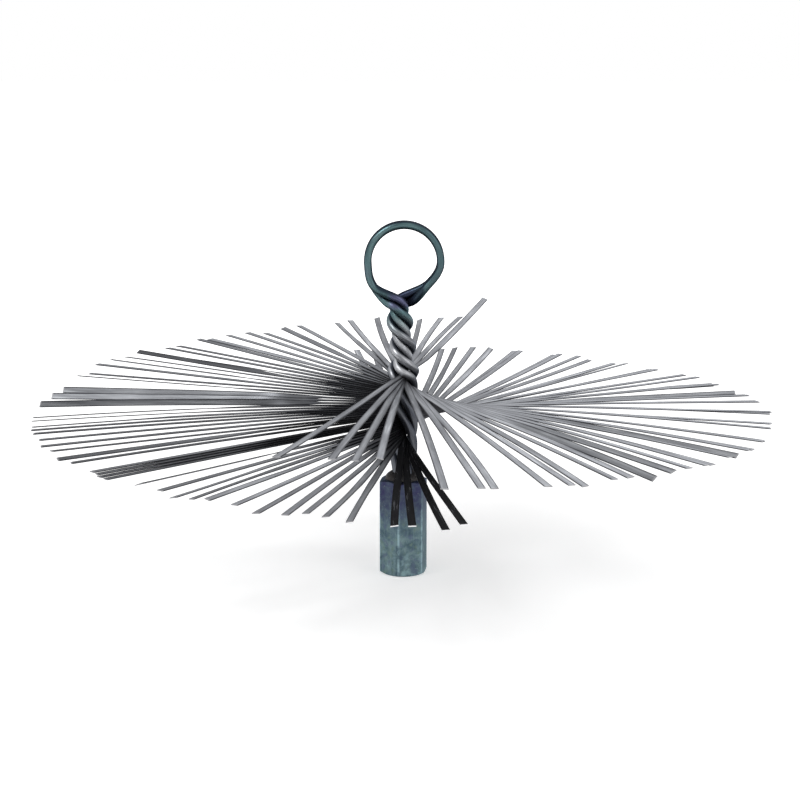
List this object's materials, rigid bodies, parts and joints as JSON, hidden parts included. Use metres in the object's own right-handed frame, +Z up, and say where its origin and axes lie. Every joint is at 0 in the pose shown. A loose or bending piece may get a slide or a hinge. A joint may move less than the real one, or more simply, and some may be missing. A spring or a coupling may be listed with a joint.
{
  "type": "chimney sweep brush",
  "caption": "Chimney sweep brush: a helical fan of flat spring-steel tines gripped in a twisted wire stem, with a pull eye on top and a hexagon rod coupling below.",
  "frame": {"origin": "centre of the coupling's lower face, on the stem's axis", "axes": "+Z up the stem to the pull eye, +X to the right in the plane of the eye, +Y square to the eye, away from the viewer of the picture"},
  "size_m": [0.3016, 0.2999, 0.1465],
  "materials": {
    "tine_steel": "rolled flat spring steel, dull grey, darker along the edges, bright where it was sheared at the tips",
    "stem_wire": "drawn round wire, dark grey-green, with soft streaks along the wire",
    "coupling_plate": "dull blue-grey zinc plate over machined steel, mottled",
    "weld_metal": "dark lumpy weld bead"
  },
  "bodies": {
    "root": {"eye_wire_front": "stem_wire", "eye_wire_rear": "stem_wire", "hex_coupling": "coupling_plate", "weld_bead": "weld_metal", "tine_01": "tine_steel", "tine_02": "tine_steel", "tine_03": "tine_steel", "tine_04": "tine_steel", "tine_05": "tine_steel", "tine_06": "tine_steel", "tine_07": "tine_steel", "tine_08": "tine_steel", "tine_09": "tine_steel", "tine_10": "tine_steel", "tine_11": "tine_steel", "tine_12": "tine_steel", "tine_13": "tine_steel", "tine_14": "tine_steel", "tine_15": "tine_steel", "tine_16": "tine_steel", "tine_17": "tine_steel", "tine_18": "tine_steel", "tine_19": "tine_steel", "tine_20": "tine_steel", "tine_21": "tine_steel", "tine_22": "tine_steel", "tine_23": "tine_steel", "tine_24": "tine_steel", "tine_25": "tine_steel", "tine_26": "tine_steel", "tine_27": "tine_steel", "tine_28": "tine_steel", "tine_29": "tine_steel", "tine_30": "tine_steel", "tine_31": "tine_steel", "tine_32": "tine_steel", "tine_33": "tine_steel", "tine_34": "tine_steel", "tine_35": "tine_steel", "tine_36": "tine_steel", "tine_37": "tine_steel", "tine_38": "tine_steel", "tine_39": "tine_steel", "tine_40": "tine_steel", "tine_41": "tine_steel", "tine_42": "tine_steel", "tine_43": "tine_steel", "tine_44": "tine_steel", "tine_45": "tine_steel", "tine_46": "tine_steel", "tine_47": "tine_steel", "tine_48": "tine_steel", "tine_49": "tine_steel", "tine_50": "tine_steel", "tine_51": "tine_steel", "tine_52": "tine_steel", "tine_53": "tine_steel", "tine_54": "tine_steel", "tine_55": "tine_steel"}
  },
  "joints": []
}
